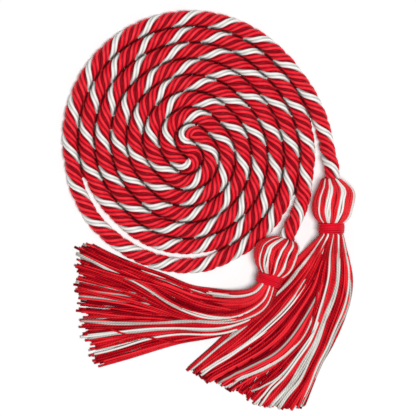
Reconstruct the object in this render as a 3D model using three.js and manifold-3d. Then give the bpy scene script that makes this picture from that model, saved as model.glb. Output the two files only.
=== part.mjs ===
// An honor cord laid flat: one long rope in a round double spiral, with a tassel at each end.
// Millimetres, +Z up. The origin is on the floor under the middle of the spiral.
import * as THREE from "three";
import { mergeVertices } from "three/addons/utils/BufferGeometryUtils.js";
import Module from "manifold-3d";

const wasm = await Module();
wasm.setup();

const UP = new THREE.Vector3(0, 0, 1);

// Driving dimensions
const CLEARANCE = 0.3;

const ROPE_THICKNESS = 6.9;
const ROPE_SIDES = 8;
const TURN_GAP = 0.35;
const TURN_PITCH = ROPE_THICKNESS + TURN_GAP;

const WAIST_RADIUS = 4.9;
const WRAP_LENGTH = 5.0;
const WRAP_THICKNESS = 0.9;
const COLLAR_RADIUS = 5.5;
const COLLAR_LENGTH = 2.6;

const SKIRT_LENGTH = 90;
const LOCK_THICKNESS = 2.8;
const OUTERMOST_LOCK_SHARE = 0.75;
const LOCK_OVERLAP = 1.3;
const TIP_TAPER = 0.45;
const TAPER_START = 0.7;

// The flat spiral: two hooks side by side at its middle, and half turns round them in turn.
const MIDDLE_PASS = 4.5;
const MIDDLE_HEADING = THREE.MathUtils.degToRad(-44.2);
const STEPS_PER_HALF_TURN = 12;
const RIGHT_HALF_TURNS = 8;
const RIGHT_LAST_SWEEP = THREE.MathUtils.degToRad(18);
const LEFT_HALF_TURNS = 7;
const LEFT_LAST_SWEEP = THREE.MathUtils.degToRad(60);
const SPIRAL_RADIUS = (RIGHT_HALF_TURNS + 1) * TURN_PITCH;

// Where the outermost turn sags away from the rest of the spiral, at its lower left: the azimuth in degrees, and
// how far out the rope lies there.
const SLACK = [
  { azimuth: -172, out: 0 },
  { azimuth: -160, out: 1.2 },
  { azimuth: -138, out: 2.3 },
  { azimuth: -120, out: 1.6 },
  { azimuth: -107, out: 1.3 },
  { azimuth: -85, out: 1.35 },
  { azimuth: -66, out: 0 },
];

// Where each tassel lies: the middle of its neck wrap in shares of the spiral's radius, how far its skirt turns
// from -Y towards -X, the size of its head, which rests on the floor, and how far the rope enters to one side.
const RIGHT_NECK = {
  x: 0.976 * SPIRAL_RADIUS,
  y: -0.547 * SPIRAL_RADIUS,
  heading: THREE.MathUtils.degToRad(2),
  headLength: 19.6,
  headRadius: 9.5,
  ropeShift: -0.6,
};
const LEFT_NECK = {
  x: 0.549 * SPIRAL_RADIUS,
  y: -0.898 * SPIRAL_RADIUS,
  heading: THREE.MathUtils.degToRad(18),
  headLength: 17,
  headRadius: 9.8,
  ropeShift: 2.0,
};

// The free run of rope from the spiral to each head, in points chosen by hand: where they lie in shares of the
// spiral's radius, and how far the rope has risen there, in shares of the rise to the head's middle.
const RIGHT_TAIL = [
  { x: 0.905, y: 0.196, rise: 0.012 },
  { x: 0.932, y: 0.095, rise: 0.04 },
  { x: 0.949, y: 0.012, rise: 0.34 },
  { x: 0.961, y: -0.067, rise: 0.72 },
];
const LEFT_TAIL = [
  { x: 0.783, y: -0.346, rise: 0.07 },
  { x: 0.757, y: -0.421, rise: 0.37 },
  { x: 0.726, y: -0.49, rise: 0.73 },
];

// Head outline from the rope's end to the waist, in shares of its length and radius.
const HEAD_PROFILE = [
  { at: 0, radius: 0.42 },
  { at: 0.05, radius: 0.6 },
  { at: 0.14, radius: 0.81 },
  { at: 0.25, radius: 0.93 },
  { at: 0.38, radius: 1 },
  { at: 0.6, radius: 0.98 },
  { at: 0.73, radius: 0.93 },
  { at: 0.85, radius: 0.83 },
  { at: 0.94, radius: 0.7 },
  { at: 1, radius: 0.6 },
];

// The two edges of each skirt, in shares of the skirt length from the middle of the neck.
const RIGHT_SKIRT = {
  inner: [
    { along: 0.037, across: -0.053 },
    { along: 0.125, across: -0.136 },
    { along: 0.244, across: -0.247 },
    { along: 0.404, across: -0.389 },
    { along: 0.563, across: -0.523 },
    { along: 0.787, across: -0.76 },
  ],
  outer: [
    { along: 0.037, across: 0.06 },
    { along: 0.236, across: 0.114 },
    { along: 0.356, across: 0.11 },
    { along: 0.58, across: 0.033 },
    { along: 0.7, across: -0.028 },
    { along: 0.955, across: -0.12 },
  ],
  reach: [0.91, 0.93, 0.96, 0.93, 0.95, 0.97, 0.96, 0.98, 1, 0.99, 0.98, 0.97, 0.94],
  landing: 0.17,
};
const LEFT_SKIRT = {
  inner: [
    { along: 0.035, across: -0.048 },
    { along: 0.075, across: -0.076 },
    { along: 0.108, across: -0.143 },
    { along: 0.126, across: -0.215 },
    { along: 0.15, across: -0.365 },
    { along: 0.14, across: -0.5 },
    { along: 0.137, across: -0.616 },
    { along: 0.12, across: -0.805 },
    { along: 0.077, across: -1.028 },
  ],
  outer: [
    { along: 0.041, across: 0.055 },
    { along: 0.095, across: 0.05 },
    { along: 0.172, across: 0.022 },
    { along: 0.256, across: -0.041 },
    { along: 0.342, across: -0.144 },
    { along: 0.442, across: -0.323 },
    { along: 0.59, across: -0.536 },
    { along: 0.735, across: -0.742 },
  ],
  reach: [0.92, 0.97, 0.93, 0.99, 0.97, 1, 0.96, 0.98, 0.95, 0.97, 0.93, 0.95, 0.9],
  landing: 0.3,
  laidOver: { height: LOCK_THICKNESS + CLEARANCE * 2, from: 0.25, full: 0.5, leaving: 0.36, down: 0.56 },
};

// Where along a lock its sections stand, closer together at the neck where it spreads and drops.
const LOCK_STATIONS = [0, 0.06, 0.12, 0.19, 0.3, 0.43, 0.6, 0.8, 1];
const LOCK_SIDES = 6;
const HEAD_SEGMENTS = 20;
const WRAP_SEGMENTS = 24;

// Colours of the real rope and yarn
const RED_ROPE = new THREE.MeshStandardMaterial({ color: 0xc8182c, roughness: 0.5, metalness: 0 });
const RED_YARN = new THREE.MeshStandardMaterial({ color: 0xd8202c, roughness: 0.55, metalness: 0 });
const RED_THREAD = new THREE.MeshStandardMaterial({ color: 0xb8142a, roughness: 0.5, metalness: 0 });

// Meshes to solids and back

function solidOf(geometry) {
  const bare = geometry.clone();
  bare.deleteAttribute("normal");
  bare.deleteAttribute("uv");
  const merged = mergeVertices(bare);
  const vertProperties = new Float32Array(merged.getAttribute("position").array);
  const triVerts = new Uint32Array(merged.getIndex().array);
  return new wasm.Manifold(new wasm.Mesh({ numProp: 3, vertProperties, triVerts }));
}

function geometryOf(solid) {
  const mesh = solid.getMesh();
  const geometry = new THREE.BufferGeometry();
  geometry.setAttribute("position", new THREE.BufferAttribute(mesh.vertProperties, 3));
  geometry.setIndex(new THREE.BufferAttribute(mesh.triVerts, 1));
  geometry.computeVertexNormals();
  return geometry;
}

function namedMesh(name, geometry, material) {
  const mesh = new THREE.Mesh(geometry, material);
  mesh.name = name;
  return mesh;
}

// The rope

// A path through given stations whose sections stay level, so that a flat of the rope faces the floor.
class StationPath extends THREE.Curve {
  constructor(stations) {
    super();
    this.stations = stations;
  }

  getPointAt(share) {
    return this.stations[Math.round(share * (this.stations.length - 1))].clone();
  }

  computeFrenetFrames(steps) {
    const frames = { tangents: [], normals: [], binormals: [] };
    for (let i = 0; i <= steps; i++) {
      const before = this.stations[Math.max(i - 1, 0)];
      const after = this.stations[Math.min(i + 1, steps)];
      const tangent = after.clone().sub(before).normalize();
      const normal = UP.clone().cross(tangent).normalize();
      frames.tangents.push(tangent);
      frames.normals.push(normal);
      frames.binormals.push(tangent.clone().cross(normal));
    }
    return frames;
  }
}

// How far out the outermost turn lies at a point of it, smooth from one row of the slack to the next
function slackAt(point) {
  const azimuth = THREE.MathUtils.radToDeg(Math.atan2(point.y, point.x));
  const next = SLACK.findIndex((row) => row.azimuth > azimuth);
  if (next < 1) return 0;
  const from = SLACK[next - 1];
  const to = SLACK[next];
  return THREE.MathUtils.lerp(from.out, to.out, THREE.MathUtils.smoothstep(azimuth, from.azimuth, to.azimuth));
}

// One arm of the spiral, from beside the middle outwards. Both arms turn the same way round.
function spiralArm(sign, halfTurns, lastSweep, sags) {
  const along = new THREE.Vector3(Math.cos(MIDDLE_HEADING), Math.sin(MIDDLE_HEADING), 0);
  const side = along.clone().cross(UP);
  const stations = [];
  for (let turn = 0; turn <= halfTurns; turn++) {
    const facing = turn % 2 === 0 ? sign : -sign;
    const hook = along.clone().multiplyScalar((facing * MIDDLE_PASS) / 2);
    hook.addScaledVector(side, (facing * TURN_PITCH) / 2);
    hook.z = ROPE_THICKNESS / 2;
    const sweep = turn < halfTurns ? Math.PI : lastSweep;
    const steps = Math.ceil((sweep / Math.PI) * STEPS_PER_HALF_TURN);
    for (let step = 0; step <= steps; step++) {
      const angle = (sweep * step) / steps;
      const outward = side.clone().multiplyScalar(-facing * Math.cos(angle));
      outward.addScaledVector(along, facing * Math.sin(angle));
      const station = hook.clone().addScaledVector(outward, (turn + 0.5) * TURN_PITCH);
      if (sags && turn >= halfTurns - 2) {
        station.addScaledVector(outward, slackAt(station));
      }
      stations.push(station);
    }
  }
  return stations;
}

// The way a tassel's skirt points from its neck
function skirtDirection(neck) {
  return new THREE.Vector3(-Math.sin(neck.heading), -Math.cos(neck.heading), 0);
}

// Where the rope ends against a tassel's head, or a point that far short of it
function ropeEnd(neck, short) {
  const direction = skirtDirection(neck);
  const back = neck.headLength + WRAP_LENGTH / 2 + CLEARANCE * 2 + short;
  const end = new THREE.Vector3(neck.x, neck.y, neck.headRadius).addScaledVector(direction, -back);
  return end.addScaledVector(UP.clone().cross(direction), neck.ropeShift);
}

// The free run from the end of an arm to its head, smooth through the chosen points
function freeRun(arm, tail, neck) {
  const lying = ROPE_THICKNESS / 2;
  const chosen = tail.map((point) => {
    const height = THREE.MathUtils.lerp(lying, neck.headRadius, point.rise);
    return new THREE.Vector3(point.x * SPIRAL_RADIUS, point.y * SPIRAL_RADIUS, height);
  });
  const points = [arm.at(-2), arm.at(-1), ...chosen, ropeEnd(neck, lying), ropeEnd(neck, 0)];
  const curve = new THREE.CatmullRomCurve3(points, false, "centripetal");
  const samples = [];
  const firstShare = 1 / (points.length - 1);
  const count = 2 * (points.length - 2);
  for (let i = 1; i <= count; i++) {
    samples.push(curve.getPoint(firstShare + ((1 - firstShare) * i) / count));
  }
  return samples;
}

function ropeSection() {
  const corner = ROPE_THICKNESS / 2 / Math.cos(Math.PI / ROPE_SIDES);
  const points = [];
  for (let i = 0; i < ROPE_SIDES; i++) {
    const angle = ((i + 0.5) * 2 * Math.PI) / ROPE_SIDES - Math.PI / 2;
    points.push(new THREE.Vector2(corner * Math.cos(angle), corner * Math.sin(angle)));
  }
  return new THREE.Shape(points);
}

function rope() {
  const rightArm = spiralArm(1, RIGHT_HALF_TURNS, RIGHT_LAST_SWEEP, true);
  const leftArm = spiralArm(-1, LEFT_HALF_TURNS, LEFT_LAST_SWEEP, false);
  const rightRun = [...rightArm, ...freeRun(rightArm, RIGHT_TAIL, RIGHT_NECK)];
  const leftRun = [...leftArm, ...freeRun(leftArm, LEFT_TAIL, LEFT_NECK)];
  const stations = [...leftRun.reverse(), ...rightRun];
  return new THREE.ExtrudeGeometry(ropeSection(), {
    steps: stations.length - 1,
    extrudePath: new StationPath(stations),
  });
}

// The tassels: each is made about its neck, with its skirt along -Y, its right side +X and its axis level.

function edgeCurve(rows) {
  const points = rows.map((row) => new THREE.Vector3(row.across * SKIRT_LENGTH, -row.along * SKIRT_LENGTH, 0));
  return new THREE.CatmullRomCurve3(points, false, "centripetal");
}

// A closed tube whose rings stand at given stations, each with its own half width and half height.
function lockSolid(stations) {
  const rod = new THREE.CylinderGeometry(1, 1, stations.length - 1, LOCK_SIDES, stations.length - 1);
  const position = rod.getAttribute("position");
  const vertex = new THREE.Vector3();
  for (let i = 0; i < position.count; i++) {
    vertex.fromBufferAttribute(position, i);
    const station = stations[Math.round(vertex.y + (stations.length - 1) / 2)];
    const placed = station.centre.clone();
    placed.addScaledVector(station.across, vertex.x * station.halfWidth);
    placed.addScaledVector(UP, vertex.z * station.halfHeight);
    position.setXYZ(i, placed.x, placed.y, placed.z);
  }
  return solidOf(rod);
}

// How high above the floor a lock lies where its skirt is laid over the other one
function supportHeight(laidOver, share, distance) {
  if (!laidOver) return 0;
  const onTop = THREE.MathUtils.smoothstep(share, laidOver.from, laidOver.full);
  const past = THREE.MathUtils.smoothstep(distance, laidOver.leaving, laidOver.down);
  return laidOver.height * onTop * (1 - past);
}

// One lock, at its share of the way across the skirt, from inside the collar to its tip.
function lock(neck, skirt, edges, share, reach) {
  const fullness = THREE.MathUtils.lerp(OUTERMOST_LOCK_SHARE, 1, Math.sin(Math.PI * share));
  const lyingHalf = (LOCK_THICKNESS / 2) * fullness;
  const offside = COLLAR_RADIUS * (2 * share - 1);
  const neckHalf = Math.sqrt(COLLAR_RADIUS ** 2 - offside ** 2);
  const stations = LOCK_STATIONS.map((at) => {
    const distance = at * reach;
    const inner = edges.inner.getPointAt(distance);
    const across = edges.outer.getPointAt(distance).sub(inner);
    const centre = inner.addScaledVector(across, share);
    const taper = 1 - TIP_TAPER * THREE.MathUtils.smoothstep(at, TAPER_START, 1);
    const settled = THREE.MathUtils.smoothstep(distance, 0, skirt.landing);
    const halfHeight = THREE.MathUtils.lerp(neckHalf, lyingHalf * taper, settled);
    const support = supportHeight(skirt.laidOver, share, distance);
    centre.z = THREE.MathUtils.lerp(-neckHalf, support - neck.headRadius, settled) + halfHeight;
    const halfWidth = ((across.length() / skirt.reach.length) * LOCK_OVERLAP * taper) / 2;
    return { centre, across: across.normalize(), halfWidth, halfHeight };
  });
  return lockSolid(stations.reverse());
}

function headSolid({ headLength, headRadius }) {
  const waistStart = WRAP_LENGTH / 2 + CLEARANCE;
  const profile = [new THREE.Vector2(0, waistStart + headLength)];
  for (const row of HEAD_PROFILE) {
    profile.push(new THREE.Vector2(row.radius * headRadius, waistStart + headLength * (1 - row.at)));
  }
  profile.push(new THREE.Vector2(WAIST_RADIUS, waistStart));
  profile.push(new THREE.Vector2(WAIST_RADIUS, -waistStart));
  profile.push(new THREE.Vector2(COLLAR_RADIUS, -waistStart));
  profile.push(new THREE.Vector2(COLLAR_RADIUS, -waistStart - COLLAR_LENGTH));
  profile.push(new THREE.Vector2(0, -waistStart - COLLAR_LENGTH));
  return solidOf(new THREE.LatheGeometry(profile.reverse(), HEAD_SEGMENTS));
}

function tassel(neck, skirt) {
  const edges = { inner: edgeCurve(skirt.inner), outer: edgeCurve(skirt.outer) };
  const count = skirt.reach.length;
  let solid = headSolid(neck);
  skirt.reach.forEach((reach, i) => {
    solid = solid.add(lock(neck, skirt, edges, (i + 0.5) / count, reach));
  });
  return geometryOf(solid);
}

function neckWrap() {
  const inside = WAIST_RADIUS + CLEARANCE;
  const outside = inside + WRAP_THICKNESS;
  const half = WRAP_LENGTH / 2;
  const shoulder = outside - WRAP_THICKNESS / 3;
  const flatHalf = half - WRAP_THICKNESS;
  const profile = [
    new THREE.Vector2(inside, -half),
    new THREE.Vector2(shoulder, -half),
    new THREE.Vector2(outside, -flatHalf),
    new THREE.Vector2(outside, flatHalf),
    new THREE.Vector2(shoulder, half),
    new THREE.Vector2(inside, half),
    new THREE.Vector2(inside, -half),
  ];
  return new THREE.LatheGeometry(profile, WRAP_SEGMENTS);
}

function tasselGroup(side, neck, skirt) {
  const group = new THREE.Group();
  group.position.set(neck.x, neck.y, neck.headRadius);
  group.rotation.z = -neck.heading;
  group.add(namedMesh(`tassel_${side}`, tassel(neck, skirt), RED_YARN));
  group.add(namedMesh(`neck_wrap_${side}`, neckWrap(), RED_THREAD));
  return group;
}

const group = new THREE.Group();
group.name = "honor_cord";
group.add(namedMesh("cord", rope(), RED_ROPE));
group.add(tasselGroup("right", RIGHT_NECK, RIGHT_SKIRT));
group.add(tasselGroup("left", LEFT_NECK, LEFT_SKIRT));

export default group;
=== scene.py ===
# An honor cord laid flat, for looks: a rope of three twisted strands, wound into a round double spiral,
# with a tassel of loose yarns at each end. Metres, +Z up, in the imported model's frame.
import math

import bpy
import numpy as np
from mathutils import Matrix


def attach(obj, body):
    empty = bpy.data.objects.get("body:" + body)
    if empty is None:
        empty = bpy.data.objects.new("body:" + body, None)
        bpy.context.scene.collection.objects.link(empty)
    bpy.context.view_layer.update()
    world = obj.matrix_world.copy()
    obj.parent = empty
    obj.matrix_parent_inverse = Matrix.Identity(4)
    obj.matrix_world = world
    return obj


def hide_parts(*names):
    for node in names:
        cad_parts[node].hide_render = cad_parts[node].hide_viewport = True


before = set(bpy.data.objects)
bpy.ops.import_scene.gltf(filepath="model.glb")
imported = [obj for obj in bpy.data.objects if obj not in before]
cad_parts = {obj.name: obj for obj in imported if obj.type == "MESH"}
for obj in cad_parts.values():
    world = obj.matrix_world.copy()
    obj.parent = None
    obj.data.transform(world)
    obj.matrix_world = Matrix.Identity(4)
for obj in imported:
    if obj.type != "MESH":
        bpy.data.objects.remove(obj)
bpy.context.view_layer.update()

MM = 0.001
UP = np.array([0.0, 0.0, 1.0])
TURN = 2 * math.pi
rng = np.random.default_rng(11)

# The rope's route, with the same sizes as the solids have
ROPE_THICKNESS = 6.9 * MM
TURN_GAP = 0.35 * MM
TURN_PITCH = ROPE_THICKNESS + TURN_GAP
CLEARANCE = 0.3 * MM
WRAP_LENGTH = 5.0 * MM
MIDDLE_PASS = 4.5 * MM
MIDDLE_HEADING = math.radians(-44.2)
STEPS_PER_HALF_TURN = 60
JOIN_STEPS = 5
TAIL_STEPS = 24
RIGHT_HALF_TURNS, RIGHT_LAST_SWEEP = 8, math.radians(18)
LEFT_HALF_TURNS, LEFT_LAST_SWEEP = 7, math.radians(60)
SPIRAL_RADIUS = (RIGHT_HALF_TURNS + 1) * TURN_PITCH

# Where the outermost turn sags away from the rest, at its lower left: the azimuth in degrees, and how far
# out the rope lies there, in millimetres. It does so within the arm's last full half turns.
SLACK_HALF_TURNS = 2
SLACK = [(-172, 0), (-160, 1.2), (-138, 2.3), (-120, 1.6), (-107, 1.3), (-85, 1.35), (-66, 0)]

# Where each tassel lies: the middle of its neck, how far its skirt turns from -Y towards -X, the size of
# its head, how far the rope enters to one side, and how far the head leans there, in millimetres, along it
NECKS = {
    "right": {
        "x": 0.976 * SPIRAL_RADIUS,
        "y": -0.547 * SPIRAL_RADIUS,
        "heading": math.radians(2),
        "head_length": 19.6 * MM,
        "head_radius": 9.5 * MM,
        "rope_shift": -0.6 * MM,
        "lean": [(0, 0), (0.1, 0.8), (0.22, 1.5), (0.34, 1.3), (0.5, 0.7), (0.7, 0.2), (1, 0)],
    },
    "left": {
        "x": 0.549 * SPIRAL_RADIUS,
        "y": -0.898 * SPIRAL_RADIUS,
        "heading": math.radians(18),
        "head_length": 17 * MM,
        "head_radius": 9.8 * MM,
        "rope_shift": 2.0 * MM,
        "lean": [(0, 0), (0.15, -0.4), (0.35, -0.75), (0.6, -0.7), (0.85, -0.3), (1, 0)],
    },
}

# The free run of rope to each head: points in shares of the spiral's radius, and how far the rope has risen
# there, in shares of the rise to the head's middle
TAILS = {
    "right": [(0.905, 0.196, 0.012), (0.932, 0.095, 0.04), (0.949, 0.012, 0.34), (0.961, -0.067, 0.72)],
    "left": [(0.783, -0.346, 0.07), (0.757, -0.421, 0.37), (0.726, -0.49, 0.73)],
}

# The twist of the rope: one turn of a strand takes this length, at five even places along it.
LAYS = np.array([16.21, 17.01, 16.91, 18.56, 16.94]) * MM
LAY_START = -0.03
ROPE_RADIUS = 3.75 * MM
ROPE_STATION = 1.1 * MM
INTO_HEAD = 2.5 * MM

# The strands: where each lies round the rope, its half width and half height in shares of the rope's
# radius, and its number of plies. The white one is thinner than the two red ones.
STRANDS = [
    {"slot": 1, "place": 0.0, "wide": 0.42, "high": 0.43, "plies": 4},
    {"slot": 0, "place": 0.314, "wide": 0.56, "high": 0.49, "plies": 5},
    {"slot": 0, "place": 0.686, "wide": 0.56, "high": 0.49, "plies": 5},
]

# The outline of a ply: where its points stand, in shares of a ply round the strand, how far out they are, in
# shares of the strand's size, and how dark the painted shade in the groove between plies is there
PLY_PLACES = np.array([0.0, 0.17, 0.38, 0.62, 0.83])
PLY_RADII = np.array([0.64, 0.88, 1.0, 1.0, 0.88])
PLY_GROOVE_SHADE = np.array([1.0, 0.5, 0.0, 0.0, 0.5])

# Where turns lie side by side, the rope is pressed wide below its middle.
TOP_WIDTH, BOTTOM_WIDTH = 0.96, 1.44
WIDE_BELOW, NARROW_ABOVE = 0.28, 0.6

# Two turns lie side by side where their middles are this near, in shares of the spiral's pitch. What is
# nearer along the rope than OWN_STRETCH pitches is the same turn, and what lies less than BESIDE of its
# distance to the side isn't beside it. FAR, in metres, stands for no other turn.
CROWDED, UNCROWDED = 1.04, 1.13
OWN_STRETCH = 1.5
BESIDE = 0.7
FAR = 1.0

# There the crevice between them is darkened with painted shade from this far out, in shares of the rope's
# radius. The groove between two strands is darkened with painted shade up to this far out.
CREVICE_SHADE_FROM, CREVICE_SHADE_FULL = 0.77, 0.89
GROOVE_SHADE_FULL, GROOVE_SHADE_NONE = 0.70, 0.86

# Each strand wanders round the rope and swells a little, by a few random waves between these lengths.
UNEVEN_WAVES = 5
UNEVEN_WEAKEST = 0.3
UNEVEN_SHORTEST, UNEVEN_LONGEST = 0.02, 0.09
UNEVEN_ANGLE = 0.045
UNEVEN_SWELL = 0.012
SWELL_LAG = 40
PLY_TONES = (0.35, 0.65)


# Curves


def unit(vectors):
    return vectors / np.linalg.norm(vectors, axis=-1, keepdims=True)


def smoothstep(value, low, high):
    share = np.clip((value - low) / (high - low), 0, 1)
    return share * share * (3 - 2 * share)


def lerp(start, end, share):
    return start + (end - start) * share


def spline(points, steps):
    """A centripetal Catmull-Rom curve through the points, with that many steps to a span."""
    points = np.asarray(points, float)
    padded = np.vstack([2 * points[0] - points[1], points, 2 * points[-1] - points[-2]])
    out = []
    for p0, p1, p2, p3 in zip(padded, padded[1:], padded[2:], padded[3:]):
        d0, d1, d2 = (math.sqrt(np.linalg.norm(b - a)) for a, b in ((p0, p1), (p1, p2), (p2, p3)))
        t1 = ((p1 - p0) / d0 - (p2 - p0) / (d0 + d1) + (p2 - p1) / d1) * d1
        t2 = ((p2 - p1) / d1 - (p3 - p1) / (d1 + d2) + (p3 - p2) / d2) * d1
        t = (np.arange(steps) / steps)[:, None]
        out.append(p1 + t1 * t + (3 * (p2 - p1) - 2 * t1 - t2) * t**2 + (2 * (p1 - p2) + t1 + t2) * t**3)
    return np.vstack([*out, points[-1:]])


def lengths_along(points):
    return np.concatenate([[0], np.cumsum(np.linalg.norm(np.diff(points, axis=0), axis=1))])


def even(points, count):
    """That many points at even lengths along a line."""
    along = lengths_along(points)
    wanted = np.linspace(0, along[-1], count)
    return np.stack([np.interp(wanted, along, column) for column in points.T], 1)


# The rope's route, from the left head through the middle of the spiral to the right head


def slack_at(point):
    """How far out the outermost turn lies at a point of it, smooth from row to row of the slack."""
    azimuth = math.degrees(math.atan2(point[1], point[0]))
    for (start, out), (end, next_out) in zip(SLACK, SLACK[1:]):
        if start <= azimuth < end:
            return lerp(out, next_out, smoothstep(azimuth, start, end)) * MM
    return 0


def spiral_arm(sign, half_turns, last_sweep, sags):
    """One arm of the spiral, from beside the middle outwards. Both arms turn the same way round."""
    along = np.array([math.cos(MIDDLE_HEADING), math.sin(MIDDLE_HEADING), 0])
    side = np.cross(along, UP)
    stations = []
    for turn in range(half_turns + 1):
        facing = sign if turn % 2 == 0 else -sign
        hook = facing * (MIDDLE_PASS * along + TURN_PITCH * side) / 2
        sweep = math.pi if turn < half_turns else last_sweep
        steps = round(sweep / math.pi * STEPS_PER_HALF_TURN)
        for step in range(1 if stations else 0, steps + 1):
            angle = sweep * step / steps
            outward = facing * (math.sin(angle) * along - math.cos(angle) * side)
            station = hook + outward * (turn + 0.5) * TURN_PITCH
            if sags and turn >= half_turns - SLACK_HALF_TURNS:
                station = station + outward * slack_at(station)
            stations.append(station + UP * ROPE_RADIUS)
    return stations


def rope_end(neck, short):
    """Where the rope meets a tassel's head, or a point that far short of it."""
    direction = np.array([-math.sin(neck["heading"]), -math.cos(neck["heading"]), 0])
    back = neck["head_length"] + WRAP_LENGTH / 2 + CLEARANCE * 2 + short
    end = np.array([neck["x"], neck["y"], neck["head_radius"]]) - direction * back
    return end + np.cross(UP, direction) * neck["rope_shift"]


def rope_run(sign, half_turns, last_sweep, sags, side):
    """An arm of the spiral, its free run and the last of it inside the head."""
    arm = spiral_arm(sign, half_turns, last_sweep, sags)
    neck = NECKS[side]
    chosen = []
    for x, y, rise in TAILS[side]:
        height = lerp(ROPE_RADIUS, neck["head_radius"], rise)
        chosen.append([x * SPIRAL_RADIUS, y * SPIRAL_RADIUS, height])
    join = -1 - JOIN_STEPS
    points = [arm[join], arm[-1], *chosen, rope_end(neck, ROPE_RADIUS), rope_end(neck, -INTO_HEAD)]
    return np.vstack([arm[:join], spline(points, TAIL_STEPS)])


right_run = rope_run(1, RIGHT_HALF_TURNS, RIGHT_LAST_SWEEP, True, "right")
left_run = rope_run(-1, LEFT_HALF_TURNS, LEFT_LAST_SWEEP, False, "left")
route = np.vstack([left_run[::-1], right_run])
rope_length = lengths_along(route)[-1]
route = even(route, round(rope_length / ROPE_STATION) + 1)


# Meshes


class MeshParts:
    """Points, faces, UVs and per-point values of one piece, put together from tubes."""

    def __init__(self):
        self.points, self.faces, self.uvs, self.slots, self.values = [], [], [], [], {}
        self.count = 0

    def tubes(self, centres, outward, radii, slots, values, ring, places=None, facing=None):
        """Closed tubes, all at once. centres is (tubes, stations, 3) and radii (tubes, stations, 2), across
        and out. outward points out of the first side of each ring, ring gives the share of the radius of
        each side, and places where it stands in turns. Rings stand square to the tube, or to facing where it
        is given. UVs are the length in metres and turns round."""
        tubes, stations, _ = centres.shape
        sides = len(ring)
        if facing is None:
            tangent = unit(np.gradient(centres, axis=1))
        else:
            tangent = np.broadcast_to(facing, centres.shape)
        normal = unit(outward - (outward * tangent).sum(-1, keepdims=True) * tangent)
        across = np.cross(tangent, normal)
        turn = np.arange(sides + 1) / sides if places is None else np.append(places, 1.0)
        cos, sin = np.cos(TURN * turn[:-1])[:, None], np.sin(TURN * turn[:-1])[:, None]
        size = np.asarray(ring)[None, None, :, None]
        wide, high = radii[..., None, None, 0], radii[..., None, None, 1]
        points = centres[:, :, None] + size * (
            cos * high * normal[:, :, None] + sin * wide * across[:, :, None]
        )
        index = self.count + np.arange(tubes * stations * sides).reshape(tubes, stations, sides)
        after = np.roll(index, -1, axis=2)
        quads = np.stack([index[:, :-1], after[:, :-1], after[:, 1:], index[:, 1:]], -1)
        steps = np.linalg.norm(np.diff(centres, axis=1), axis=2)
        along = np.concatenate([np.zeros((tubes, 1)), np.cumsum(steps, axis=1)], 1)
        low, high_u = along[:, :-1, None], along[:, 1:, None]
        near, far = turn[None, None, :-1], turn[None, None, 1:]
        corners = [(low, near), (low, far), (high_u, far), (high_u, near)]
        shape = quads.shape[:3]
        uv = np.stack([np.stack([np.broadcast_to(c, shape) for c in pair], -1) for pair in corners], -2)
        self.points.append(points.reshape(-1, 3))
        self.faces += quads.reshape(-1, 4).tolist()
        self.uvs.append(uv.reshape(-1, 2))
        self.slots.append(np.repeat(slots, (stations - 1) * sides))
        for name, value in values.items():
            full = np.broadcast_to(value, (tubes, stations, sides))
            at_ends = np.repeat(full[:, 0, 0], 2)
            self.values.setdefault(name, []).append(np.concatenate([full.reshape(-1), at_ends]))
        self.count += tubes * stations * sides
        ends = self.count + np.arange(tubes * 2).reshape(tubes, 2)
        self.points.append(centres[:, [0, -1]].reshape(-1, 3))
        first = np.stack([np.broadcast_to(ends[:, :1], (tubes, sides)), after[:, 0], index[:, 0]], -1)
        last = np.stack([np.broadcast_to(ends[:, 1:], (tubes, sides)), index[:, -1], after[:, -1]], -1)
        caps = np.concatenate([first, last], 1)
        self.faces += caps.reshape(-1, 3).tolist()
        length = np.concatenate([np.zeros((tubes, sides)), np.repeat(along[:, -1:], sides, 1)], 1)
        around = np.concatenate([turn[:-1], turn[:-1]])[None].repeat(tubes, 0)
        cap_uv = np.stack([length, around], -1)[:, :, None].repeat(3, 2)
        self.uvs.append(cap_uv.reshape(-1, 2))
        self.slots.append(np.repeat(slots, 2 * sides))
        self.count += tubes * 2

    def piece(self, name, materials, slot, *nodes):
        """The finished object, on the root body, with its materials and in place of the solids' nodes. slot
        is not used.
        """
        mesh = bpy.data.meshes.new(name)
        mesh.from_pydata(np.vstack(self.points).tolist(), [], self.faces)
        mesh.polygons.foreach_set("use_smooth", np.ones(len(self.faces), bool))
        mesh.polygons.foreach_set("material_index", np.concatenate(self.slots).astype(np.int32))
        mesh.uv_layers.new(name="along").data.foreach_set("uv", np.vstack(self.uvs).ravel())
        for key, parts in self.values.items():
            layer = mesh.attributes.new(key, "FLOAT", "POINT")
            layer.data.foreach_set("value", np.concatenate(parts).astype(np.float32))
        for material in materials:
            mesh.materials.append(material)
        mesh.update()
        piece = bpy.data.objects.new(name, mesh)
        bpy.context.scene.collection.objects.link(piece)
        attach(piece, "root")
        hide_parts(*nodes)
        return piece


# Materials

# Painted shade: the colour painted into the crevices between turns of the rope, and how strongly the grooves
# and crevices are darkened
CREVICE_SHADE_COLOUR = (34, 18, 18)
GROOVE_SHADE_STRENGTH, CREVICE_SHADE_STRENGTH = 0.85, 0.93
FIBRE_STRETCH = 0.12
PATCH_SCALE = 260.0
FIBRE_SHARE, PATCH_SHARE, TONE_SHARE = 0.5, 0.2, 0.42
SHADE_PLACES = (0.3, 0.52, 0.78)
FIBRE_RELIEF, RIDGE_RELIEF, RELIEF_DEPTH = 0.5, 5, 0.8


def linear(red, green, blue):
    """A colour given in sRGB from 0 to 255."""
    shares = [c / 255 for c in (red, green, blue)]
    return (*[s / 12.92 if s <= 0.04045 else ((s + 0.055) / 1.055) ** 2.4 for s in shares], 1.0)


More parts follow.
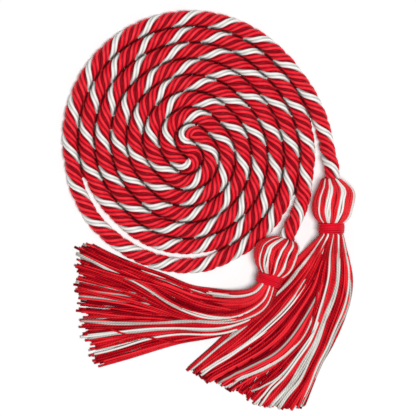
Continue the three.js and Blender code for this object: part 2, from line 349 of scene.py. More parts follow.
def fibre_material(name, shades, groove_shade_colour, radius, grain, bump, roughness, twist=0.0, pitch=1.0, ridges=1):
    """Silky fibre laid along a tube. shades go from deep to bright, the colour after them is the painted
    shade in the grooves, and radius is the tube's. twist says how much its ridges show, in relief and as
    painted shade lighter on their crests, pitch the length of one turn of them and ridges their number."""
    material = bpy.data.materials.new(name)
    material.use_nodes = True
    tree = material.node_tree
    tree.nodes.clear()

    def node(kind, inputs=(), **settings):
        made = tree.nodes.new(kind)
        for key, value in settings.items():
            setattr(made, key, value)
        for key, value in dict(inputs).items():
            if isinstance(value, bpy.types.NodeSocket):
                tree.links.new(value, made.inputs[key])
            else:
                made.inputs[key].default_value = value
        return made

    def math_node(operation, *inputs):
        return node("ShaderNodeMath", enumerate(inputs), operation=operation).outputs[0]

    def attribute(key):
        return node("ShaderNodeAttribute", attribute_name=key).outputs["Fac"]

    # Painted shade: mixes the colour towards a dark one as far as a point's attribute says
    def with_painted_shade(colour, key, shade_strength, shade_colour):
        share = math_node("MULTIPLY", attribute(key), shade_strength)
        mix = node("ShaderNodeMix", {0: share}, data_type="RGBA")
        tree.links.new(colour, mix.inputs[6])
        mix.inputs[7].default_value = linear(*shade_colour)
        return mix.outputs[2]

    place = node("ShaderNodeSeparateXYZ", {0: node("ShaderNodeUVMap", uv_map="along").outputs[0]})
    length, around = place.outputs[0], math_node("MULTIPLY", place.outputs[1], TURN)
    across = radius / grain
    fibre_at = node(
        "ShaderNodeCombineXYZ",
        {
            0: math_node("MULTIPLY", length, FIBRE_STRETCH / grain),
            1: math_node("MULTIPLY", math_node("COSINE", around), across),
            2: math_node("MULTIPLY", math_node("SINE", around), across),
        },
    )
    fibres = node(
        "ShaderNodeTexNoise", {"Vector": fibre_at.outputs[0], "Scale": 1.0, "Detail": 3.0, "Roughness": 0.6}
    ).outputs["Fac"]
    where = node("ShaderNodeTexCoord").outputs["Object"]
    patches = node(
        "ShaderNodeTexNoise", {"Vector": where, "Scale": PATCH_SCALE, "Detail": 2.0}
    ).outputs["Fac"]
    turns = math_node("MULTIPLY", length, TURN / pitch)
    ridge = math_node("SINE", math_node("ADD", turns, math_node("MULTIPLY", around, ridges)))
    ridge = math_node("MULTIPLY_ADD", ridge, 0.5, 0.5)

    mixed = math_node("MULTIPLY", fibres, FIBRE_SHARE)
    mixed = math_node("ADD", mixed, math_node("MULTIPLY", patches, PATCH_SHARE))
    # Painted shade: the twist ridges lighten the colour on their crests and darken it between them
    mixed = math_node("ADD", mixed, math_node("MULTIPLY", ridge, twist))
    mixed = math_node("ADD", mixed, math_node("MULTIPLY", attribute("tone"), TONE_SHARE))
    ramp = node("ShaderNodeValToRGB", {0: mixed})
    stops = ramp.color_ramp.elements
    stops[0].position, stops[0].color = SHADE_PLACES[0], linear(*shades[0])
    stops[1].position, stops[1].color = SHADE_PLACES[2], linear(*shades[2])
    stops.new(SHADE_PLACES[1]).color = linear(*shades[1])
    # Painted shade in the grooves between plies, strands and yarns, then in the crevices between turns of
    # the rope
    colour = with_painted_shade(ramp.outputs[0], "groove_shade", GROOVE_SHADE_STRENGTH, groove_shade_colour)
    colour = with_painted_shade(colour, "crevice_shade", CREVICE_SHADE_STRENGTH, CREVICE_SHADE_COLOUR)

    height = math_node("MULTIPLY", ridge, twist * RIDGE_RELIEF)
    height = math_node("ADD", height, math_node("MULTIPLY", fibres, FIBRE_RELIEF))
    relief = node("ShaderNodeBump", {"Height": height, "Strength": bump, "Distance": grain * RELIEF_DEPTH})
    surface = node(
        "ShaderNodeBsdfPrincipled",
        {
            "Base Color": colour,
            "Normal": relief.outputs[0],
            "Roughness": roughness,
            "Specular IOR Level": 0.4,
            "Specular Tint": linear(*shades[2]),
            "Sheen Weight": 0.05,
            "Sheen Roughness": 0.4,
            "Sheen Tint": linear(*shades[2]),
        },
    )
    tree.links.new(surface.outputs[0], node("ShaderNodeOutputMaterial").inputs[0])
    return material


# Shades from deep to bright, in sRGB from 0 to 255
ROPE_RED = ((208, 8, 28), (249, 32, 50), (255, 76, 86))
ROPE_WHITE = ((224, 224, 219), (244, 244, 240), (252, 252, 250))
YARN_RED = ((118, 4, 18), (198, 16, 30), (246, 50, 60))
YARN_WHITE = ((168, 162, 155), (220, 216, 209), (243, 241, 237))
THREAD_RED = ((168, 4, 24), (222, 14, 38), (242, 34, 54))

STRAND = {"grain": 0.16 * MM, "bump": 0.3}
YARN = {"radius": 0.46 * MM, "grain": 0.09 * MM, "bump": 0.4, "twist": 0.14, "pitch": 1.3 * MM, "ridges": 2}
THREAD = {"radius": 0.4 * MM, "grain": 0.07 * MM, "bump": 0.45, "twist": 0.1, "pitch": 1.1 * MM,
          "ridges": 2}

strand_red = fibre_material("strand_red", ROPE_RED, (58, 0, 8), radius=1.9 * MM, roughness=0.38, **STRAND)
strand_white = fibre_material(
    "strand_white", ROPE_WHITE, (164, 164, 158), radius=1.6 * MM, roughness=0.45, **STRAND
)
yarn_red = fibre_material("yarn_red", YARN_RED, (70, 0, 6), roughness=0.42, **YARN)
yarn_white = fibre_material("yarn_white", YARN_WHITE, (118, 106, 98), roughness=0.48, **YARN)
thread_red = fibre_material("thread_red", THREAD_RED, (62, 0, 6), roughness=0.45, **THREAD)


# The rope


def crowding(along, left):
    """How close another turn lies to the left and to the right of each station of the rope, from 0 to 1."""
    offset = route[None] - route[:, None]
    apart = np.linalg.norm(offset, axis=-1)
    beside = (offset * left[:, None]).sum(-1)
    another = np.abs(along[None] - along[:, None]) > OWN_STRETCH * TURN_PITCH
    shares = []
    for side in (1, -1):
        nearest = np.where(another & (side * beside > BESIDE * apart), apart, FAR).min(axis=1)
        shares.append(1 - smoothstep(nearest, CROWDED * TURN_PITCH, UNCROWDED * TURN_PITCH))
    return shares


def settle_rope(points, left, crowded):
    """Widens a strand's points that lie low in the rope, ring by ring along the route, and says how much
    painted shade each point gets in the crevice between two turns and in the groove between two strands."""
    rings = points.reshape(len(route), -1, 3)
    offset = rings - route[:, None]
    lateral = (offset * left[:, None]).sum(-1)
    height = offset[..., 2] / (2 * ROPE_RADIUS) + 0.5
    beside = np.where(lateral > 0, crowded[0][:, None], crowded[1][:, None])
    width = lerp(lerp(1, BOTTOM_WIDTH, beside), TOP_WIDTH, smoothstep(height, WIDE_BELOW, NARROW_ABOVE))
    # Painted shade on the side that faces a neighbouring turn, and in the groove between strands
    crevice_shade = beside * smoothstep(np.abs(lateral) / ROPE_RADIUS, CREVICE_SHADE_FROM, CREVICE_SHADE_FULL)
    groove_shade = 1 - smoothstep(np.linalg.norm(offset, axis=-1) / ROPE_RADIUS, GROOVE_SHADE_FULL, GROOVE_SHADE_NONE)
    settled = rings + left[:, None] * (lateral * (width - 1))[..., None]
    return settled.reshape(-1, 3), crevice_shade.ravel(), groove_shade.ravel()


def twisted_rope():
    """The whole rope: each strand is one tube whose outline has its plies."""
    along = lengths_along(route)
    tangent = unit(np.gradient(route, axis=0))
    left = unit(np.cross(UP, tangent))
    above = np.cross(tangent, left)
    lay = np.interp(along, np.linspace(0, along[-1], len(LAYS)), LAYS)
    turned = np.concatenate([[0], np.cumsum(np.diff(along) / ((lay[1:] + lay[:-1]) / 2))]) * TURN
    crowded = crowding(along, left)
    parts = MeshParts()
    for strand in STRANDS:
        unevenness = sum(
            rng.uniform(UNEVEN_WEAKEST, 1)
            * np.sin(TURN * along / rng.uniform(UNEVEN_SHORTEST, UNEVEN_LONGEST) + rng.uniform(0, TURN))
            for _ in range(UNEVEN_WAVES)
        )
        angle = math.pi / 2 - (turned + LAY_START) - strand["place"] * TURN + unevenness * UNEVEN_ANGLE
        plies, high, wide = strand["plies"], strand["high"] * ROPE_RADIUS, strand["wide"] * ROPE_RADIUS
        outward = np.cos(angle)[:, None] * left + np.sin(angle)[:, None] * above
        swell = 1 + UNEVEN_SWELL * np.roll(unevenness, SWELL_LAG)
        centre = route + outward * ((ROPE_RADIUS - high) * (2 - swell))[:, None]
        places = (np.arange(plies)[:, None] + PLY_PLACES).ravel() / plies
        parts.tubes(
            centre[None], outward[None], (swell[:, None] * (wide, high))[None], [strand["slot"]],
            {
                "groove_shade": np.tile(PLY_GROOVE_SHADE, plies),
                "tone": np.repeat(rng.uniform(*PLY_TONES, plies), len(PLY_PLACES)),
                "crevice_shade": 0.0,
            },
            ring=np.tile(PLY_RADII, plies), places=places,
        )

        # The tube's own points, which come before the two that close its ends
        parts.points[-2], crevice_shade, groove_shade = settle_rope(parts.points[-2], left, crowded)
        # Painted shade in the crevices between turns and the grooves between strands
        parts.values["crevice_shade"][-1][: len(crevice_shade)] = crevice_shade
        groove_shades = parts.values["groove_shade"][-1]
        groove_shades[: len(groove_shade)] = np.maximum(groove_shades[: len(groove_shade)], groove_shade)
    return parts.piece("twisted_rope", [strand_red, strand_white], "rope", "cord")


rope = twisted_rope()


# The tassels, each made about its neck: the skirt along -Y, its right side +X and its axis level


# The outline of each head from the rope's end to the waist, in shares of its length and radius
HEAD_PROFILES = {
    "right": np.array(
        [(0, 0.42), (0.05, 0.56), (0.12, 0.68), (0.21, 0.82), (0.30, 0.92), (0.4, 0.98), (0.5, 1),
         (0.62, 0.99), (0.73, 0.97), (0.82, 0.92), (0.9, 0.84), (0.96, 0.73), (1, 0.64)]
    ),
    "left": np.array(
        [(0, 0.42), (0.05, 0.6), (0.14, 0.81), (0.25, 0.93), (0.38, 1), (0.6, 0.98), (0.73, 0.93),
         (0.85, 0.83), (0.94, 0.7), (1, 0.6)]
    ),
}
WAIST_START = WRAP_LENGTH / 2 + CLEARANCE
WAIST_RADIUS = 4.9 * MM

# A yarn has eight sides, and all but its outermost three get painted shade, for the groove to the next one.
ROUND_RING = np.ones(8)
YARN_GROOVE_SHADE = np.array([0, 0.2, 1, 1, 1, 1, 1, 0.2])

# White yarns of each head, by the degrees round it from the top towards its right side
HEAD_WHITES = {
    "right": [(-49, -43), (-27, -8), (15, 32), (64, 78), (98, 112), (148, 165), (-112, -98), (-162, -150)],
    "left": [(-47, -43), (-31, -14), (10, 15), (32, 45), (68, 84), (130, 146), (-100, -88), (-152, -136)],
}

# The yarns of a head start folded in round the rope, before the head's end, and run on under the thread.
# Their thickness follows the space that each has, and a core closes the gaps between them; the core is
# painted dark all over, as painted shade.
HEAD_YARNS = 64
HEAD_STATIONS = 34
HEAD_START, HEAD_END = -0.05, 1.1
FOLDED_RADIUS = 2.8 * MM
UNDER_THREAD = 0.8
HEAD_YARN_APART = 1.2
HEAD_YARN_SWAY = 0.022
HEAD_YARN_SHARE = 0.62
HEAD_YARN_THINNEST, HEAD_YARN_THICKEST = 0.2 * MM, 0.6 * MM
HEAD_YARN_SINK = 0.12 * MM
HEAD_YARN_PROUD = 0.10 * MM
HEAD_YARN_WIDE, HEAD_YARN_HIGH = 1.04, 0.96
HEAD_YARN_TONES = (0.4, 1.1)
ENTRY_SHIFT_UNTIL = 0.4
CORE_START = 2
CORE_SINK = 1.2
CORE_SIDES = 32


def to_world(neck, points):
    """Points given about a neck, in the frame."""
    turn = -neck["heading"]
    x, y, z = points[..., 0], points[..., 1], points[..., 2]
    return np.stack(
        [
            neck["x"] + x * math.cos(turn) - y * math.sin(turn),
            neck["y"] + x * math.sin(turn) + y * math.cos(turn),
            neck["head_radius"] + z,
        ],
        -1,
    )


def direction_to_world(neck, vectors):
    """Directions given about a neck, in the frame."""
    return to_world({**neck, "x": 0, "y": 0, "head_radius": 0}, vectors)


def wander(count, stations, waves, scale):
    """Smooth random lines about zero, one a row."""
    at = np.linspace(0, 1, stations)
    out = np.zeros((count, stations))
    for wave in waves:
        phase = rng.uniform(0, TURN, (count, 1))
        out += rng.normal(0, 1, (count, 1)) * np.sin(TURN * at * wave + phase) / wave**0.5
    return out * scale


def tassel_head(side):
    """The yarns of a head, from the rope over its fullest part to the neck, over a core."""
    neck = NECKS[side]
    at = np.linspace(HEAD_START, HEAD_END, HEAD_STATIONS)
    profile = HEAD_PROFILES[side]
    radius = np.interp(at, profile[:, 0], profile[:, 1]) * neck["head_radius"]
    radius = np.where(at < 0, lerp(FOLDED_RADIUS, radius[0], smoothstep(at, HEAD_START, 0.0)), radius)
    radius = np.where(at > 1, lerp(radius, WAIST_RADIUS, UNDER_THREAD), radius)
    folded = np.where(at < 0, -2 * at, at)
    y = WAIST_START + neck["head_length"] * (1 - folded)
    shift = neck["rope_shift"] * (1 - smoothstep(at, 0.0, ENTRY_SHIFT_UNTIL))
    shift = shift + np.interp(at, *np.array(neck["lean"]).T) * MM
    azimuth = np.linspace(-180, 180, HEAD_YARNS, endpoint=False)
    azimuth = np.sort(azimuth + rng.uniform(-HEAD_YARN_APART, HEAD_YARN_APART, HEAD_YARNS))
    white = np.array([any(low <= a <= high for low, high in HEAD_WHITES[side]) for a in azimuth])
    sway = wander(HEAD_YARNS, HEAD_STATIONS, (0.5, 1.2, 2.3), HEAD_YARN_SWAY)
    round_at = np.radians(azimuth)[:, None] + sway
    spacing = TURN * radius / HEAD_YARNS
    thick = np.clip(HEAD_YARN_SHARE * spacing, HEAD_YARN_THINNEST, HEAD_YARN_THICKEST)
    thick = thick[None].repeat(HEAD_YARNS, 0)
    proud = rng.normal(0, HEAD_YARN_PROUD, (HEAD_YARNS, 1))
    proud = proud + wander(HEAD_YARNS, HEAD_STATIONS, (1.0, 2.0), HEAD_YARN_PROUD / 2)
    lie = radius[None] - thick + proud - HEAD_YARN_SINK
    outward = np.stack([np.sin(round_at), 0 * round_at, np.cos(round_at)], -1)
    centres = outward * lie[..., None]
    centres[..., 0] += shift
    centres[..., 1] = y
    radii = np.stack([thick * HEAD_YARN_WIDE, thick * HEAD_YARN_HIGH], -1)
    parts = MeshParts()
    parts.tubes(
        to_world(neck, centres), direction_to_world(neck, outward), radii, white.astype(int),
        {"groove_shade": YARN_GROOVE_SHADE, "tone": rng.uniform(*HEAD_YARN_TONES, (HEAD_YARNS, 1, 1))}, ring=ROUND_RING,
    )
    # The core is painted dark all over: painted shade deep between the yarns
    core = np.stack([shift, y, 0 * y], -1)[CORE_START:][None]
    core_radii = (radius - CORE_SINK * thick[0])[CORE_START:][None, :, None].repeat(2, 2)
    parts.tubes(
        to_world(neck, core), direction_to_world(neck, np.broadcast_to(UP, core.shape)), core_radii, [0],
        {"groove_shade": 0.8, "tone": 0.2}, ring=np.ones(CORE_SIDES),
        facing=direction_to_world(neck, np.array([0.0, -1.0, 0.0])),
    )
    return parts.piece(f"tassel_head_{side}", [yarn_red, yarn_white], "yarn", f"tassel_{side}")


# The thread goes round the neck this many times, a little aslant, lower at its two ends, over a sleeve.
WRAP_TURNS = 6.2
WRAP_THREAD = 0.41 * MM
WRAP_RADIUS = 5.62 * MM
WRAP_STATIONS = round(WRAP_TURNS * 40)
WRAP_INSET = 0.6
WRAP_WANDER_ALONG, WRAP_WANDER_OUT = 0.05 * MM, 0.03 * MM
WRAP_SLANT = 0.16 * MM
WRAP_SLANT_PHASE = 0.8
WRAP_END_DROP = 0.25 * MM
SLEEVE_RADIUS = WRAP_RADIUS - 0.1 * MM
SLEEVE_STATIONS, SLEEVE_SIDES = 7, 40


def neck_thread(side):
    """The turns of thread round a neck, over a sleeve."""
    neck = NECKS[side]
    share = np.linspace(0, 1, WRAP_STATIONS)
    from_middle = abs(2 * share - 1)
    turn = TURN * WRAP_TURNS * share
    half = WRAP_LENGTH / 2 - WRAP_THREAD * WRAP_INSET
    y = half - 2 * half * share + wander(1, WRAP_STATIONS, (1.7, 5, 11), WRAP_WANDER_ALONG)[0]
    y += WRAP_SLANT * np.sin(turn + WRAP_SLANT_PHASE) * (1 - from_middle)
    reach = WRAP_RADIUS + wander(1, WRAP_STATIONS, (3, 7, 13), WRAP_WANDER_OUT)[0]
    reach -= WRAP_END_DROP * from_middle**4
    outward = np.stack([np.sin(turn), 0 * turn, np.cos(turn)], -1)
    centres = outward * reach[:, None]
    centres[:, 1] = y
    parts = MeshParts()
    parts.tubes(
        to_world(neck, centres)[None], direction_to_world(neck, outward)[None],
        np.full((1, WRAP_STATIONS, 2), WRAP_THREAD), [0],
        {"groove_shade": YARN_GROOVE_SHADE, "tone": 0.6}, ring=ROUND_RING,
    )
    # The sleeve is painted dark all over: painted shade under the thread
    sleeve = np.zeros((1, SLEEVE_STATIONS, 3))
    sleeve[0, :, 1] = np.linspace(half, -half, SLEEVE_STATIONS)
    parts.tubes(
        to_world(neck, sleeve), direction_to_world(neck, np.broadcast_to(UP, sleeve.shape)),
        np.full((1, SLEEVE_STATIONS, 2), SLEEVE_RADIUS), [0],
        {"groove_shade": 0.7, "tone": 0.3}, ring=np.ones(SLEEVE_SIDES),
    )
    return parts.piece(f"neck_thread_{side}", [thread_red], "thread", f"neck_wrap_{side}")


# The skirts. Edges are in shares of the skirt's length from the neck, along and across, and reach gives the
# share of the way along them at which the yarns end. A flow row says how far across the skirt, from the
# inner edge to the outer, the yarns of one place in the order lie at each tenth of the way out. Whites are
# places in that order. covered rows give yarns by their places, and from where to where they dive under
# others. A stray is one loose yarn, white (1) or red (0), with its path along and across. deep says how dark
# painted shade may make the yarns across the skirt.
SKIRT_LENGTH = 90 * MM
COLLAR_RADIUS = 5.5 * MM
LYING_LAYER = 0.62 * MM
SKIRTS = {
    "right": {
        "inner": [(0.037, -0.053), (0.125, -0.136), (0.244, -0.247), (0.404, -0.389), (0.563, -0.523),
                  (0.787, -0.76)],
        "outer": [(0.037, 0.06), (0.236, 0.114), (0.356, 0.11), (0.58, 0.033), (0.7, -0.028),
                  (0.955, -0.12)],
        "reach": [0.91, 0.93, 0.96, 0.93, 0.95, 0.97, 0.96, 0.98, 1, 0.99, 0.98, 0.97, 0.94],
        "landing": 0.17,
        "ragged": 0.008,
        "white_rise": 0.4,
        "flow": {
            0.00: (0.01,) * 11,
            0.10: (0.12, 0.15, 0.15, 0.147, 0.13, 0.11, 0.08, 0.05, 0.03, 0.025, 0.02),
            0.15: (0.17, 0.21, 0.205, 0.19, 0.16, 0.14, 0.11, 0.075, 0.055, 0.045, 0.04),
            0.28: (0.31, 0.34, 0.35, 0.345, 0.34, 0.325, 0.28, 0.23, 0.17, 0.12, 0.10),
            0.36: (0.38, 0.43, 0.43, 0.42, 0.395, 0.37, 0.32, 0.25, 0.20, 0.15, 0.12),
            0.48: (0.45, 0.50, 0.53, 0.57, 0.58, 0.585, 0.565, 0.53, 0.42, 0.31, 0.26),
            0.50: (0.47, 0.52, 0.55, 0.59, 0.605, 0.61, 0.605, 0.575, 0.46, 0.345, 0.29),
            0.57: (0.49, 0.535, 0.575, 0.61, 0.64, 0.655, 0.66, 0.62, 0.53, 0.40, 0.35),
            0.59: (0.50, 0.545, 0.585, 0.62, 0.65, 0.67, 0.685, 0.66, 0.56, 0.43, 0.38),
            0.63: (0.51, 0.55, 0.60, 0.645, 0.69, 0.735, 0.755, 0.74, 0.70, 0.64, 0.60),
            0.67: (0.57, 0.605, 0.65, 0.68, 0.72, 0.76, 0.78, 0.775, 0.765, 0.73, 0.70),
            0.76: (0.75, 0.755, 0.76, 0.765, 0.77, 0.783, 0.797, 0.808, 0.798, 0.765, 0.73),
            0.86: (0.82, 0.81, 0.80, 0.795, 0.815, 0.845, 0.88, 0.90, 0.89, 0.85, 0.82),
            0.93: (0.93, 0.94, 0.935, 0.935, 0.938, 0.94, 0.953, 0.967, 0.973, 0.962, 0.95),
            0.97: (0.98, 0.985, 0.97, 0.965, 0.967, 0.97, 0.98, 0.985, 0.99, 0.985, 0.98),
            1.00: (0.99,) * 11,
        },
        "deep": [(0, 0.5), (0.1, 0.7), (0.45, 0.8), (0.6, 0.5), (0.75, 0.2), (0.9, 0.2), (1, 0.4)],
        "covered": [(0.282, 0.308, -1, 0.36), (0.478, 0.503, -1, 0.33), (0.567, 0.591, -1, 0.46)],
        "strays": [
            (1, [(0.5, 0.765), (0.6, 0.745), (0.7, 0.735), (0.8, 0.70), (0.88, 0.63), (0.935, 0.56)]),
            (0, [(0.25, 0.56), (0.35, 0.60), (0.45, 0.66), (0.52, 0.70), (0.6, 0.71), (0.75, 0.66),
                 (0.9, 0.58)]),
        ],
        "over_whites": [(0.105, 0.145), (0.287, 0.3), (0.338, 0.354), (0.484, 0.494), (0.57, 0.586),
                        (0.643, 0.662), (0.77, 0.845), (0.94, 0.962)],
        "under_whites": [(0.02, 0.04), (0.725, 0.755)],
    },
    "left": {
        "inner": [(0.035, -0.048), (0.075, -0.076), (0.108, -0.143), (0.126, -0.215), (0.15, -0.365),
                  (0.14, -0.5), (0.137, -0.616), (0.12, -0.805), (0.077, -1.028)],
        "outer": [(0.041, 0.055), (0.095, 0.05), (0.172, 0.022), (0.256, -0.041), (0.342, -0.144),
                  (0.442, -0.323), (0.59, -0.536), (0.735, -0.742)],
        "reach": [0.87, 0.94, 0.95, 0.98, 0.97, 1, 0.96, 0.98, 0.95, 0.97, 0.93, 0.95, 0.9],
        "landing": 0.3,
        "ragged": 0.018,
        "white_rise": 0.8,
        "laid_over": {"height": 3.4 * MM, "from": 0.25, "full": 0.5, "leaving": 0.36, "down": 0.56},
        "flow": {
            0.00: (0.01,) * 11,
            0.10: (0.17, 0.16, 0.10, 0.08, 0.04, 0.03, 0.02, 0.02, 0.02, 0.02, 0.02),
            0.20: (0.30, 0.31, 0.25, 0.17, 0.14, 0.12, 0.08, 0.06, 0.05, 0.045, 0.04),
            0.34: (0.42, 0.50, 0.42, 0.31, 0.23, 0.18, 0.13, 0.11, 0.10, 0.10, 0.10),
            0.47: (0.55, 0.70, 0.71, 0.645, 0.54, 0.40, 0.22, 0.15, 0.13, 0.12, 0.12),
            0.54: (0.63, 0.78, 0.79, 0.74, 0.655, 0.54, 0.35, 0.24, 0.20, 0.19, 0.19),
            0.60: (0.69, 0.83, 0.81, 0.75, 0.69, 0.63, 0.56, 0.50, 0.47, 0.46, 0.46),
            0.65: (0.74, 0.89, 0.83, 0.765, 0.705, 0.705, 0.685, 0.665, 0.65, 0.635, 0.63),
            0.70: (0.80, 0.94, 0.89, 0.82, 0.755, 0.735, 0.71, 0.69, 0.675, 0.66, 0.65),
            0.79: (0.88, 0.965, 0.92, 0.87, 0.82, 0.785, 0.755, 0.735, 0.71, 0.70, 0.70),
            0.90: (0.96, 0.985, 0.98, 0.95, 0.89, 0.84, 0.81, 0.80, 0.81, 0.82, 0.82),
            1.00: (0.99,) * 11,
        },
        "deep": [(0, 0.8), (0.15, 0.8), (0.25, 0.4), (0.45, 0.7), (0.6, 0.5), (0.8, 0.3), (1, 0.5)],
        "covered": [(0.92, 0.94, -1, 0.24), (0.11, 0.19, 0.6, 2)],
        "strays": [
            (0, [(0.12, 0.40), (0.18, 0.30), (0.24, 0.18), (0.3, 0.08),
                 (0.36, 0.03), (0.6, 0.02), (0.84, 0.02)]),
            (0, [(0.12, 0.43), (0.18, 0.33), (0.25, 0.19), (0.32, 0.09),
                 (0.4, 0.05), (0.6, 0.04), (0.86, 0.04)]),
            (0, [(0.12, 0.46), (0.18, 0.36), (0.25, 0.22), (0.33, 0.12),
                 (0.42, 0.08), (0.6, 0.07), (0.84, 0.06)]),
            (0, [(0.12, 0.72), (0.2, 0.56), (0.3, 0.36), (0.4, 0.26),
                 (0.55, 0.2), (0.7, 0.18), (0.9, 0.19)]),
            (0, [(0.12, 0.75), (0.2, 0.6), (0.3, 0.4), (0.4, 0.29),
                 (0.55, 0.22), (0.7, 0.2), (0.93, 0.22)]),
            (0, [(0.4, 1.0), (0.53, 0.985), (0.59, 0.93), (0.67, 0.84), (0.76, 0.77), (0.84, 0.705)]),
        ],
        "over_whites": [(0.115, 0.17), (0.49, 0.52), (0.665, 0.682), (0.825, 0.855), (0.925, 0.935)],
        "under_whites": [(0.05, 0.08), (0.155, 0.175), (0.335, 0.37), (0.4, 0.41), (0.45, 0.465),
                         (0.785, 0.8), (0.86, 0.87), (0.93, 0.945)],
    },
}
OVER_YARNS, UNDER_YARNS = 110, 104
SKIRT_STATIONS = 40
STATION_SPREAD = 1.15
SHORTER = 0.004
EDGE_MARGIN = 0.004

# The yarns are a little wider than high, thinner at the neck by the share that they gain further out, and of
# different sizes.
YARN_RADIUS = 0.48 * MM
YARN_WIDE, YARN_HIGH = 1.05, 0.95
YARN_AT_NECK, YARN_GAIN = 0.84, 0.2
YARN_SIZES = (0.9, 1.12)

# How bright they are, how much darker painted shade makes the under ones, and how many of them are deep in
# painted shade
YARN_TONES = (0.1, 1)
UNDER_SHADE_TONE = 0.6
DEEP_SHADED_YARNS = 0.55
EDGE_STEPS, EDGE_POINTS, FLOW_STEPS = 40, 400, 8

# The yarns sway from side to side and gather in clumps towards their tips.
SWAY = 0.30 * MM
CLUMPS, CLUMP_PHASE, CLUMP_SHIFT = 15, 1.3, 0.32 * MM

# How high the yarns lie, in layers: at random, what a covered one sinks by, where a stray lies, and the most
OVER_LAYERS, UNDER_LAYERS = (1.0, 2.3), (0.0, 0.6)
LAYER_WANDER = 0.28
COVERED_BY = 2.4
STRAY_LAYER = 3.1
TOP_LAYER = 3.2
DIVE = 0.05

# The bundle in the collar, from level -1 at its bottom to 1 at its top, and its start inside the wrap
BUNDLE = 0.93
OVER_LEVELS, UNDER_LEVELS = (0.15, 1.0), (-1.0, 0.2)
ROOT_SIZE = 0.8
ROOT_Y = -0.4 * MM


def edge(rows, stations):
    """An edge of a skirt as points at even lengths."""
    points = [(across * SKIRT_LENGTH, -along * SKIRT_LENGTH, 0) for along, across in rows]
    return even(spline(points, EDGE_STEPS), stations)


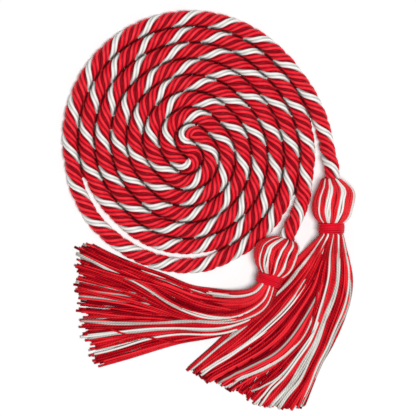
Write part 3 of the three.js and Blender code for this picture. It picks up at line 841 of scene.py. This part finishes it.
def tassel_skirt(side):
    """The yarns of a skirt: those of the upper layers follow its flow, the under ones run straight out."""
    neck, skirt = NECKS[side], SKIRTS[side]
    inner, outer = edge(skirt["inner"], EDGE_POINTS), edge(skirt["outer"], EDGE_POINTS)
    fine_at = np.linspace(0, 1, EDGE_POINTS)
    places = np.array(list(skirt["flow"]))
    rows = np.array(list(skirt["flow"].values()))
    tenths = np.linspace(0, 1, rows.shape[1])

    order = np.concatenate(
        [
            (np.arange(OVER_YARNS) + rng.uniform(0.2, 0.8, OVER_YARNS)) / OVER_YARNS,
            (np.arange(UNDER_YARNS) + rng.uniform(0.2, 0.8, UNDER_YARNS)) / UNDER_YARNS,
        ]
    )
    over = np.arange(len(order)) < OVER_YARNS
    white = np.array(
        [
            any(low <= u <= high for low, high in skirt["over_whites" if top else "under_whites"])
            for u, top in zip(order, over)
        ]
    )
    strays = skirt["strays"]
    order = np.append(order, [path[-1][1] for _, path in strays])
    white = np.append(white, [bool(is_white) for is_white, _ in strays])
    over = np.append(over, [False] * len(strays))
    count = len(order)
    steps = np.linspace(0, 1, SKIRT_STATIONS) ** STATION_SPREAD
    tip_share = np.where(over, np.interp(order, places, rows[:, -1]), order)
    reach_at = (np.arange(len(skirt["reach"])) + 0.5) / len(skirt["reach"])
    reach = np.interp(tip_share, reach_at, skirt["reach"]) + rng.normal(0, skirt["ragged"], count) - SHORTER
    reach[count - len(strays) :] = [path[-1][0] for _, path in strays]
    distance = steps[None] * np.minimum(reach, 1.0)[:, None]

    share = np.empty_like(distance)
    for i in range(count):
        if over[i]:
            row = [np.interp(order[i], places, column) for column in rows.T]
            smooth_row = spline(np.stack([tenths, row, 0 * tenths], 1), FLOW_STEPS)
            share[i] = np.interp(distance[i], smooth_row[:, 0], smooth_row[:, 1])
        else:
            share[i] = order[i]
    for i, (_, path) in enumerate(strays, count - len(strays)):
        smooth_path = spline([(*point, 0) for point in path], FLOW_STEPS)
        share[i] = np.interp(distance[i], smooth_path[:, 0], smooth_path[:, 1])
    start = np.stack([np.interp(distance, fine_at, inner[:, k]) for k in range(3)], -1)
    finish = np.stack([np.interp(distance, fine_at, outer[:, k]) for k in range(3)], -1)
    width = np.linalg.norm(finish - start, axis=-1)
    sway = wander(count, SKIRT_STATIONS, (0.5, 1.1, 2.1, 3.4), SWAY) * smoothstep(steps, 0.02, 0.3)
    clumps = np.sin(TURN * share * CLUMPS + CLUMP_PHASE) * CLUMP_SHIFT * smoothstep(distance, 0.7, 1.0)
    share = np.clip(share + (sway + clumps) / width, EDGE_MARGIN, 1 - EDGE_MARGIN)
    centres = start + (finish - start) * share[..., None]

    # From a round bundle at the neck down onto the floor, or onto the other skirt
    neck_share = share[:, :1]
    offside = COLLAR_RADIUS * (2 * neck_share - 1) * BUNDLE
    half = np.sqrt(np.maximum((COLLAR_RADIUS * BUNDLE) ** 2 - offside**2, 0))
    level = np.where(over, rng.uniform(*OVER_LEVELS, count), rng.uniform(*UNDER_LEVELS, count))[:, None]
    bundle = half * np.sign(level) * np.abs(level) ** 0.7
    raised = rng.uniform(*OVER_LAYERS, count) + skirt["white_rise"] * white
    layer = np.where(over, raised, rng.uniform(*UNDER_LAYERS, count))[:, None]
    layer = layer + wander(count, SKIRT_STATIONS, (0.7, 1.6, 2.7), LAYER_WANDER)
    for low, high, begin, until in skirt["covered"]:
        chosen = (over & (order >= low) & (order <= high))[:, None]
        sunk = smoothstep(distance, begin - DIVE, begin + DIVE)
        sunk = sunk * (1 - smoothstep(distance, until - DIVE, until + DIVE))
        layer = layer - COVERED_BY * chosen * sunk
    for i, (_, path) in enumerate(strays, count - len(strays)):
        layer[i] = STRAY_LAYER * smoothstep(distance[i], path[0][0] - 0.02, path[0][0] + 0.05)
    lying = YARN_RADIUS + LYING_LAYER * np.clip(layer, 0, TOP_LAYER)
    laid = skirt.get("laid_over")
    if laid:
        on_top = smoothstep(share, laid["from"], laid["full"])
        lying = lying + laid["height"] * on_top * (1 - smoothstep(distance, laid["leaving"], laid["down"]))
    settled = smoothstep(distance, 0, skirt["landing"])
    centres[..., 2] = lerp(bundle, lying - neck["head_radius"], settled)

    # The part inside the wrap
    root = centres[:, :1].copy()
    root[..., 0] = offside * ROOT_SIZE
    root[..., 1] = ROOT_Y
    root[..., 2] = bundle * ROOT_SIZE
    centres = np.concatenate([root, centres], 1)
    thick = YARN_RADIUS * (YARN_AT_NECK + YARN_GAIN * smoothstep(distance, 0.0, 0.25))
    thick = thick * rng.uniform(*YARN_SIZES, (count, 1))
    thick = np.concatenate([thick[:, :1], thick], 1)
    outward = np.broadcast_to(UP, centres.shape)
    # Painted shade: the under yarns are darker, and where deep says, about half the yarns are darkened too
    deep = np.interp(share, *np.array(skirt["deep"]).T) * smoothstep(distance, 0.05, 0.3)
    tone = rng.uniform(*YARN_TONES, (count, 1)) * np.where(over, 1, UNDER_SHADE_TONE)[:, None]
    tone = tone - deep * (rng.uniform(0, 1, (count, 1)) < DEEP_SHADED_YARNS)
    tone = np.concatenate([tone[:, :1], tone], 1)
    parts = MeshParts()
    radii = np.stack([thick * YARN_WIDE, thick * YARN_HIGH], -1)
    parts.tubes(
        to_world(neck, centres), direction_to_world(neck, outward), radii, white.astype(int),
        {"groove_shade": YARN_GROOVE_SHADE, "tone": tone[..., None]}, ring=ROUND_RING,
    )
    return parts.piece(f"tassel_skirt_{side}", [yarn_red, yarn_white], "yarn", f"tassel_{side}")


# Each side's random draws start anew, so that a change to one side leaves the other and the rope alone.
for side, seed in (("right", 7), ("left", 8)):
    rng = np.random.default_rng(seed)
    tassel_head(side)
    neck_thread(side)
    tassel_skirt(side)


# Floor, light and camera
FLOOR_HALF = 3.0
PHOTO_WIDTH = 187.2 * MM
PHOTO_MIDDLE = (8.55 * MM, -26.66 * MM)
CAMERA_HEIGHT = 1.5
SENSOR_MM = 36.0
WORLD_STRENGTH = 0.2
LAMP_SIZE = 0.6
LAMP_POWER = 38.0
LAMP_PLACE = (0.25, -0.15, 2.0)
LAMP_AIM = (0.0, -0.02, 0.0)

floor_mesh = bpy.data.meshes.new("floor")
floor_corners = [(x * FLOOR_HALF, y * FLOOR_HALF, 0) for x, y in ((-1, -1), (1, -1), (1, 1), (-1, 1))]
floor_mesh.from_pydata(floor_corners, [], [(0, 1, 2, 3)])
floor = bpy.data.objects.new("floor", floor_mesh)
bpy.context.scene.collection.objects.link(floor)
paper = bpy.data.materials.new("floor_paper")
paper.use_nodes = True
paper_surface = paper.node_tree.nodes["Principled BSDF"]
paper_surface.inputs["Base Color"].default_value = (0.93, 0.93, 0.93, 1)
paper_surface.inputs["Roughness"].default_value = 0.9
paper_surface.inputs["Specular IOR Level"].default_value = 0.1
floor_mesh.materials.append(paper)

world = bpy.data.worlds.new("studio")
world.use_nodes = True
background = world.node_tree.nodes["Background"]
background.inputs["Color"].default_value = (1, 1, 1, 1)
background.inputs["Strength"].default_value = WORLD_STRENGTH
bpy.context.scene.world = world

lamp = bpy.data.lights.new("softbox", "AREA")
lamp.shape = "SQUARE"
lamp.size = LAMP_SIZE
lamp.energy = LAMP_POWER
softbox = bpy.data.objects.new("softbox", lamp)
softbox.location = LAMP_PLACE
aim = np.array(LAMP_AIM) - np.array(softbox.location)
pitch_angle = math.atan2(math.hypot(aim[0], aim[1]), -aim[2])
softbox.rotation_euler = (pitch_angle, 0, math.atan2(aim[1], aim[0]) - math.pi / 2)
bpy.context.scene.collection.objects.link(softbox)

eye = bpy.data.cameras.new("camera")
eye.sensor_width = SENSOR_MM
eye.lens = SENSOR_MM * CAMERA_HEIGHT / PHOTO_WIDTH
eye.clip_start, eye.clip_end = 0.01, 20
camera = bpy.data.objects.new("camera", eye)
camera.location = (*PHOTO_MIDDLE, CAMERA_HEIGHT)
bpy.context.scene.collection.objects.link(camera)
bpy.context.scene.camera = camera
bpy.context.scene.view_settings.view_transform = "Standard"
